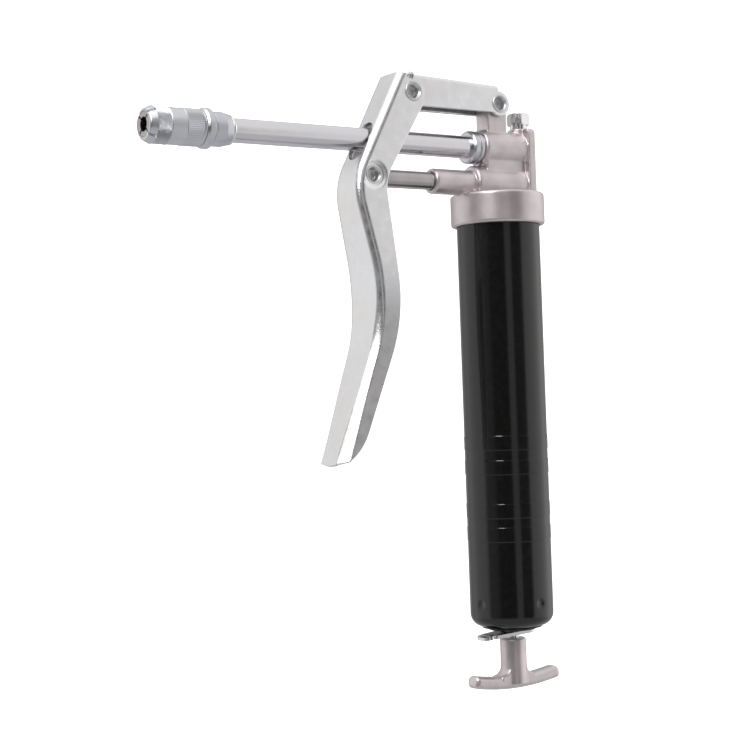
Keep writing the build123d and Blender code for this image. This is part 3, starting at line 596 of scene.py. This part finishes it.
def lever_skin():
    """The pressed channel's outer skin: sections from the ear down to a rounded, spoon-like tip."""
    web_at, rear_at = (sampler(points) for points in lever_curves())
    vertices = []
    lines = len(lever_section(10, 3, 12))
    across = 2 * lines - 1
    for i in range(LEVER_SECTIONS + 1):
        share = i / LEVER_SECTIONS
        near_tip = max(0.0, (share - LEVER_TIP_START) / (1 - LEVER_TIP_START)) ** 1.5
        row = []
        for side in (-1, 1):
            for k in range(lines):
                s = k / (lines - 1)
                t = share - LEVER_TIP_LIFT * near_tip * (1 - math.sqrt(1 - s * s))
                front, back = web_at(t), rear_at(t)
                depth = float(np.linalg.norm(back - front))
                inward = (back - front) / depth
                middle_z = float(front[1])
                bend = min(eased(middle_z, LEVER_BEND_RADII), 0.88 * depth)
                flatness = eased(middle_z, LEVER_BEND_FLATNESS)
                d, y = lever_section(eased(middle_z, LEVER_HALF_WIDTHS), bend, depth, flatness)[k]
                y += max(0.0, d - 0.4 * bend) * eased(middle_z, LEVER_FLARES)
                point = front + inward * d
                away = math.dist(point, PIVOT_C)
                if d > bend and away < COIN_R + COIN_RIM:
                    pressed = min((COIN_R + COIN_RIM - away) / COIN_SLOPE, 1.0)
                    y -= COIN_DEPTH * pressed * pressed * (3 - 2 * pressed)
                row.append((float(point[0]), side * y, float(point[1])))
        vertices += list(reversed(row[1:lines])) + row[lines:]
    faces = [(i * across + j, i * across + j + 1, (i + 1) * across + j + 1, (i + 1) * across + j)
             for i in range(LEVER_SECTIONS) for j in range(across - 1)]
    return vertices, faces


def round_hole(centre, radius):
    """Signed distance from a round hole's outline in both flanges, and the way out from it."""
    def offset(co):
        if abs(co.y) < 5:
            return None
        out = Vector((co.x - centre[0], 0, co.z - centre[1]))
        return out.length - radius, out.normalized()
    return offset


def slot_hole():
    """The same for the long hole that the pipe passes through, in the web's straight upper part."""
    (x0, z0), (x1, z1) = LEVER_WEB[0], LEVER_WEB[1]
    along = Vector((x1 - x0, 0, z1 - z0)).normalized()
    inward = Vector((-along.z, 0, along.x))
    middle = Vector((x0 + (x1 - x0) * (SLOT_CENTRE_Z - z0) / (z1 - z0), 0, SLOT_CENTRE_Z))
    straight = (SLOT_LENGTH - SLOT_WIDTH) / 2

    def offset(co):
        away = co - middle
        if abs(away.dot(inward)) > 1.5:
            return None
        s = away.dot(along)
        out = Vector((0, co.y, 0)) + along * (s - max(-straight, min(straight, s)))
        return out.length - SLOT_WIDTH / 2, out.normalized()
    return offset


def punch(offset):
    """A change that punches a hole in a sheet: the faces inside the outline go, and the edge that is left is
    drawn on to it."""
    def change(work):
        inside = []
        for face in work.faces:
            found = offset(face.calc_center_median() / MM)
            if found and found[0] < 0:
                inside.append(face)
        bmesh.ops.delete(work, geom=inside, context="FACES")
        for vertex in work.verts:
            found = offset(vertex.co / MM) if vertex.is_boundary else None
            if found and abs(found[0]) < 1.0:
                vertex.co -= found[1] * found[0] * MM
    return change


def lever():
    """The lever: its outer skin with the holes punched, given the thickness of the sheet inwards."""
    obj = new_object("squeeze_lever", *lever_skin())
    if sum(p.normal.x * p.area for p in obj.data.polygons) > 0:
        obj.data.flip_normals()
    for offset in (slot_hole(), round_hole(PIVOT_B, RIVET_HOLE_R), round_hole(PIVOT_C, RIVET_HOLE_R)):
        edit_mesh(obj.data, punch(offset))
    add_modifier(obj, "SOLIDIFY", thickness=LEVER_SHEET * MM, offset=-1)
    add_modifier(obj, "BEVEL", width=0.00028, segments=3, limit_method="ANGLE", angle_limit=math.radians(55))
    apply_modifiers(obj)
    smooth(obj, 40)
    weighted_normals(obj)
    stands_for(obj, "lever")


# ---------------------------------------------------------------- rivets
def rivet(name, node, centre, half_grip, head_r):
    """A semi-tubular rivet: a thin rolled head with a flared mouth and a blind hole at each end."""
    under = half_grip + 0.02
    top = half_grip + RIVET_HEAD_THICKNESS
    end = top - RIVET_BORE_DEPTH
    half = [
        (0.0, RIVET_R, 0), (under, RIVET_R, 0), (under, head_r, 0.15), (top, head_r - 0.3, 0.25),
        (top, head_r - 0.75, 0.3), (top - 0.9, RIVET_BORE_R, 0.6), (end, RIVET_BORE_R - 0.1, 0.6),
        (end - 0.4, 0.0, 0)]
    other = [(-p[0], *p[1:]) for p in reversed(half[1:])]
    profile = rounded(other + half[1:], closed=False)
    obj = lathe(name, profile, "Y", centre, 56)
    settle(obj, MATERIALS["rivet"], BODY_OF[node], SLOT_OF[node], node)


def rivets():
    """The three pins of the linkage."""
    for name, node, centre, head_r in (
            ("rivet_lever_link", "lever_link_pin", PIVOT_B, 4.5),
            ("rivet_link_head", "link_head_pin", PIVOT_A, 4.2),
            ("rivet_plunger", "plunger_pin", PIVOT_C, 4.2)):
        low, high = box_mm(node)
        rivet(name, node, centre, high.y - RIVET_SEAT, head_r)


# ---------------------------------------------------------------- pipe and coupler
def turned(name, node, corners):
    """A plain turned piece on the pipe's axis that stands for one CAD node."""
    stands_for(lathe(name, rounded(corners), "X", (0.0, PIPE_Z)), node)


def pipe():
    """The delivery pipe."""
    front, rear = PIPE_LOW.x, PIPE_HIGH.x
    corners = [(front, PIPE_BORE_R), (front, PIPE_R, 0.4), (rear, PIPE_R, 0.2), (rear, PIPE_BORE_R)]
    turned("pipe_skin", "delivery_pipe", corners)


def sleeve_notches(along, angle, radius):
    """Notches in the cone of the sleeve, between the jaws."""
    if along >= NOSE_X + NOTCH_LENGTH or radius < MOUTH_R + 0.3:
        return 0.0
    for k in range(NOTCH_COUNT):
        notch = 2 * math.pi * (k + 0.5) / NOTCH_COUNT
        turn = (angle - notch + math.pi) % (2 * math.pi) - math.pi
        if abs(turn) * radius < NOTCH_HALF_WIDTH:
            return NOTCH_DEPTH
    return 0.0


def coupler_sleeve():
    """The sleeve: a cone with notches, a fine diamond knurl, a plain band, and a straight knurl."""
    rear = SLEEVE_HIGH.x
    pitch = math.pi * SLEEVE_R / SLEEVE_COLUMNS
    groove_r = SLEEVE_R - SLEEVE_GROOVE
    knurl_r = SLEEVE_R - SLEEVE_KNURL_DEPTH
    rows = [(NOSE_X, MOUTH_R, 0, ""), (NOSE_X, 6.0, 0, ""), (NOSE_X + 0.1, 6.25, 0, "")]
    start = NOSE_X + 0.35
    rows += [(start + (CONE_REAR_X - start) * k / 6, CONE_START_R + (SLEEVE_R - CONE_START_R) * k / 6, 0, "")
             for k in range(7)]
    count = int((DIAMOND_REAR_X - CONE_REAR_X - 0.3) / pitch)
    rows += [(CONE_REAR_X + 0.15 + k * pitch, knurl_r, SLEEVE_KNURL_LIFT, "diamond")
             for k in range(count + 1)]
    rows += [(DIAMOND_REAR_X, SLEEVE_R, 0, ""), (DIAMOND_REAR_X + 0.15, groove_r, 0, ""),
             (BAND_REAR_X - 0.15, groove_r, 0, ""), (BAND_REAR_X, SLEEVE_R, 0, "")]
    length = rear - BAND_REAR_X - 0.85
    rows += [(BAND_REAR_X + 0.15 + length * k / 8, knurl_r, SLEEVE_KNURL_LIFT, "straight")
             for k in range(9)]
    rows += [(rear - 0.5, SLEEVE_R, 0, ""), (rear - 0.15, SLEEVE_R - 0.1, 0, ""),
             (rear, SLEEVE_R - 0.4, 0, ""), (rear, SLEEVE_BORE_R, 0, ""),
             (MOUTH_REAR_X, SLEEVE_BORE_R, 0, ""), (MOUTH_REAR_X, MOUTH_R, 0, "")]
    obj = knurled_lathe("coupler_sleeve_skin", rows, "X", (0.0, PIPE_Z), SLEEVE_COLUMNS, sleeve_notches)
    stands_for(obj, "coupler_sleeve")


def coupler_body():
    """The adapter behind the sleeve: a collar, a waist and a nut with a long chamfer."""
    inner = PIPE_R + TURNED_GAP
    low, high = box_mm("coupler_body")
    collar_x = ADAPTER_COLLAR_X
    turned("coupler_adapter", "coupler_body", [
        (PIPE_LOW.x, inner, 0), (PIPE_LOW.x, 2.0, 0), (low.x, 2.0), (low.x, 6.25), (collar_x, 6.3, 0),
        (collar_x, 7.7), (collar_x + 1.0, ADAPTER_COLLAR_R, 0.5), (collar_x + 3.4, ADAPTER_COLLAR_R, 0.5),
        (collar_x + 4.6, ADAPTER_NUT_R - 0.2, 0.3), (collar_x + 5.1, ADAPTER_NUT_R, 0.2),
        (collar_x + 9.6, ADAPTER_NUT_R, 0.8), (high.x, 6.3, 0.2), (high.x, inner, 0)])
    low, high = box_mm("coupler_ring")
    turned("coupler_end_ring", "coupler_ring", [
        (low.x, inner, 0), (low.x, 6.2, 0.2), (low.x + 0.6, 6.4, 0.4), (high.x, 5.9, 0.4),
        (high.x, inner, 0)])


def collar():
    """The lock nut on the pipe, with two grooves."""
    low, high = box_mm("pipe_collar")
    inner = PIPE_R + TURNED_GAP
    groove_r = LOCK_NUT_GROOVE_R
    turned("pipe_lock_nut", "pipe_collar", [
        (low.x, inner, 0), (low.x, 6.6), (low.x + 0.8, LOCK_NUT_R, 0.4), (-13.9, LOCK_NUT_R),
        (-13.6, groove_r), (-13.1, groove_r), (-12.8, LOCK_NUT_R), (-11.5, LOCK_NUT_R, 0.2),
        (-11.1, groove_r - 0.1),
        (high.x, groove_r - 0.1, 0), (high.x, inner, 0)])


# ---------------------------------------------------------------- castings
def casting(name, node, voxel, rounds):
    """A cast or pressed piece: the CAD solid with every edge and inside corner softened."""
    obj = bpy.data.objects.new(name, frame["nodes"][node].data.copy())
    bpy.context.scene.collection.objects.link(obj)
    add_modifier(obj, "WELD", merge_threshold=2e-6)
    add_modifier(obj, "REMESH", mode="VOXEL", voxel_size=voxel * MM, use_smooth_shade=True)
    add_modifier(obj, "SMOOTH", factor=0.5, iterations=rounds)
    apply_modifiers(obj)
    stands_for(obj, node)


def castings():
    """The pieces whose corners are soft all round."""
    casting("head_skin", "head_casting", 0.34, 7)
    casting("t_handle_skin", "t_handle", 0.3, 6)
    casting("link_skin", "link", 0.3, 3)


# ---------------------------------------------------------------- stage
TARGET = Vector((-70.86, 0.0, 52.91)) * MM
CAMERA_DISTANCE = 0.722
CAMERA_AZIMUTH = math.radians(33.735)
CAMERA_PITCH = math.radians(1.126)
CAMERA_ROLL = math.radians(2.001)
LENS = 79.52
LIGHT_DISTANCE = 1.4
STAGE_R = 6


def direction(azimuth, elevation):
    """From the object towards a place at an azimuth and elevation: azimuth 0 is -Y and 90 is +X."""
    a, e = math.radians(azimuth), math.radians(elevation)
    return Vector((math.sin(a) * math.cos(e), -math.cos(a) * math.cos(e), math.sin(e)))


def camera():
    """The camera, beside the gun and round towards its nose, turned slightly about its line of sight."""
    data = bpy.data.cameras.new("camera")
    data.lens = LENS
    data.sensor_width = 36
    data.clip_start = 0.01
    data.clip_end = 50
    obj = bpy.data.objects.new("camera", data)
    bpy.context.scene.collection.objects.link(obj)
    level = math.cos(CAMERA_PITCH)
    sine, cosine = math.sin(CAMERA_AZIMUTH), math.cos(CAMERA_AZIMUTH)
    look = Vector((sine * level, cosine * level, math.sin(CAMERA_PITCH)))
    right = Vector((cosine, -sine, 0))
    up = right.cross(look)
    image_right = math.cos(CAMERA_ROLL) * right - math.sin(CAMERA_ROLL) * up
    image_up = math.sin(CAMERA_ROLL) * right + math.cos(CAMERA_ROLL) * up
    place = TARGET - look * CAMERA_DISTANCE
    rows = [(image_right[i], image_up[i], -look[i], place[i]) for i in range(3)]
    obj.matrix_world = Matrix((*rows, (0, 0, 0, 1)))
    bpy.context.scene.camera = obj


def panel(name, azimuth, elevation, size, power):
    """A soft rectangular light that faces the object."""
    data = bpy.data.lights.new(name, "AREA")
    data.shape = "RECTANGLE"
    data.size, data.size_y = size
    data.energy = power
    obj = bpy.data.objects.new(name, data)
    bpy.context.scene.collection.objects.link(obj)
    out = direction(azimuth, elevation)
    obj.location = TARGET + out * LIGHT_DISTANCE
    obj.rotation_mode = "QUATERNION"
    obj.rotation_quaternion = out.to_track_quat("Z", "Y")


def glow_material(name, strength):
    """Pale matt paint that glows a little."""
    material = bpy.data.materials.new(name)
    material.use_nodes = True
    shader = material.node_tree.nodes["Principled BSDF"]
    shader.inputs["Base Color"].default_value = (0.9, 0.9, 0.9, 1)
    shader.inputs["Roughness"].default_value = 0.9
    shader.inputs["Emission Color"].default_value = (1, 1, 1, 1)
    shader.inputs["Emission Strength"].default_value = strength
    return material


def stage():
    """A pale floor, clear of the T-handle when the rod is pulled out, and a pale dome behind.  Both are kept
    out of the object's reflections."""
    floor_z = cad_low.z - (ROD_TRAVEL + 0.5) * MM
    bpy.ops.mesh.primitive_circle_add(vertices=96, radius=STAGE_R, fill_type="NGON", location=(0, 0, floor_z))
    floor = bpy.context.object
    floor.name = "floor"
    floor.data.materials.append(glow_material("floor_pale", 0.75))
    bpy.ops.mesh.primitive_uv_sphere_add(segments=64, ring_count=32, radius=STAGE_R)
    dome = bpy.context.object
    dome.name = "backdrop"
    dome.data.materials.append(glow_material("backdrop_pale", 1.2))
    for obj in (floor, dome):
        obj.visible_glossy = False
        obj.visible_diffuse = False
        obj.visible_transmission = False
    dome.visible_shadow = False


class Sky:
    """Ways to build the studio's brightness from the direction that a reflection looks in."""

    def __init__(self):
        world = bpy.data.worlds.new("studio")
        bpy.context.scene.world = world
        world.use_nodes = True
        self.nodes, self.links = world.node_tree.nodes, world.node_tree.links
        self.split = self.nodes.new("ShaderNodeSeparateXYZ")
        self.links.new(self.nodes.new("ShaderNodeTexCoord").outputs["Generated"], self.split.inputs["Vector"])

    def math(self, operation, first, second):
        """The result of a sum of two values, each a number or a socket."""
        node = self.nodes.new("ShaderNodeMath")
        node.operation = operation
        for socket, value in zip(node.inputs, (first, second)):
            if isinstance(value, (int, float)):
                socket.default_value = value
            else:
                self.links.new(value, socket)
        return node.outputs["Value"]

    def bearing(self):
        """0 to 1 round the object, with 0.5 towards the camera's side and more to the right of it."""
        x, y = self.split.outputs["X"], self.split.outputs["Y"]
        to_x, to_y = -math.sin(CAMERA_AZIMUTH), -math.cos(CAMERA_AZIMUTH)
        ahead = self.math("ADD", self.math("MULTIPLY", x, to_x), self.math("MULTIPLY", y, to_y))
        side = self.math("ADD", self.math("MULTIPLY", x, -to_y), self.math("MULTIPLY", y, to_x))
        return self.math("ADD", self.math("DIVIDE", self.math("ARCTAN2", side, ahead), 2 * math.pi), 0.5)

    def ramp(self, source, stops):
        """A colour that runs through (place, colour) stops."""
        ramp = self.nodes.new("ShaderNodeValToRGB")
        self.links.new(source, ramp.inputs["Fac"])
        elements = ramp.color_ramp.elements
        while len(elements) < len(stops):
            elements.new(0.5)
        for element, (place, colour) in zip(elements, stops):
            element.position = place
            element.color = (*colour, 1)
        return ramp.outputs["Color"]

    def blend(self, start, end, below, above):
        """Goes from one colour to another as the direction climbs from start to end degrees."""
        span = self.nodes.new("ShaderNodeMapRange")
        span.interpolation_type = "SMOOTHSTEP"
        span.inputs["From Min"].default_value = math.sin(math.radians(start))
        span.inputs["From Max"].default_value = math.sin(math.radians(end))
        self.links.new(self.split.outputs["Z"], span.inputs["Value"])
        mix = self.nodes.new("ShaderNodeMix")
        mix.data_type = "RGBA"
        self.links.new(span.outputs["Result"], mix.inputs["Factor"])
        for socket, colour in ((mix.inputs[6], below), (mix.inputs[7], above)):
            if isinstance(colour, tuple):
                socket.default_value = (*colour, 1)
            else:
                self.links.new(colour, socket)
        return mix.outputs[2]


# (bearing, brightness) of the studio, with bearings in degrees to the right of the camera.
ROUND_THE_OBJECT = (
    (-180, 0.45), (-140, 0.50), (-122, 0.95), (-72, 0.95), (-62, 0.30), (-46, 0.26), (-38, 0.22),
    (-31, 0.08), (9, 0.06), (14, 0.55), (26, 0.55), (31, 0.10), (56, 0.14), (64, 0.95), (122, 1.25),
    (145, 0.55), (180, 0.45))


def surroundings():
    """The studio that the metal reflects: two bright side walls, a dark room in front with one bright gap,
    a white ceiling and a pale table."""
    sky = Sky()
    stops = [((degrees + 180) / 360, (v, v * 0.985, v * 0.98)) for degrees, v in ROUND_THE_OBJECT]
    level = sky.ramp(sky.bearing(), stops)
    with_table = sky.blend(-32, -14, (0.62, 0.62, 0.64), level)
    colour = sky.blend(26, 50, with_table, (1.0, 1.0, 1.01))
    sky.links.new(colour, sky.nodes["Background"].inputs["Color"])


def lights():
    """A soft strip to the left of the camera, and a large soft light high over the nose."""
    panel("strip", -56, 36, (0.40, 0.75), 8)
    panel("top", -90, 62, (0.8, 0.8), 6)


# ---------------------------------------------------------------- build
camera()
finish_cad_nodes()
barrel()
lever()
rivets()
pipe()
collar()
coupler_sleeve()
coupler_body()
castings()
stage()
surroundings()
lights()
bpy.context.scene.view_settings.view_transform = "Standard"
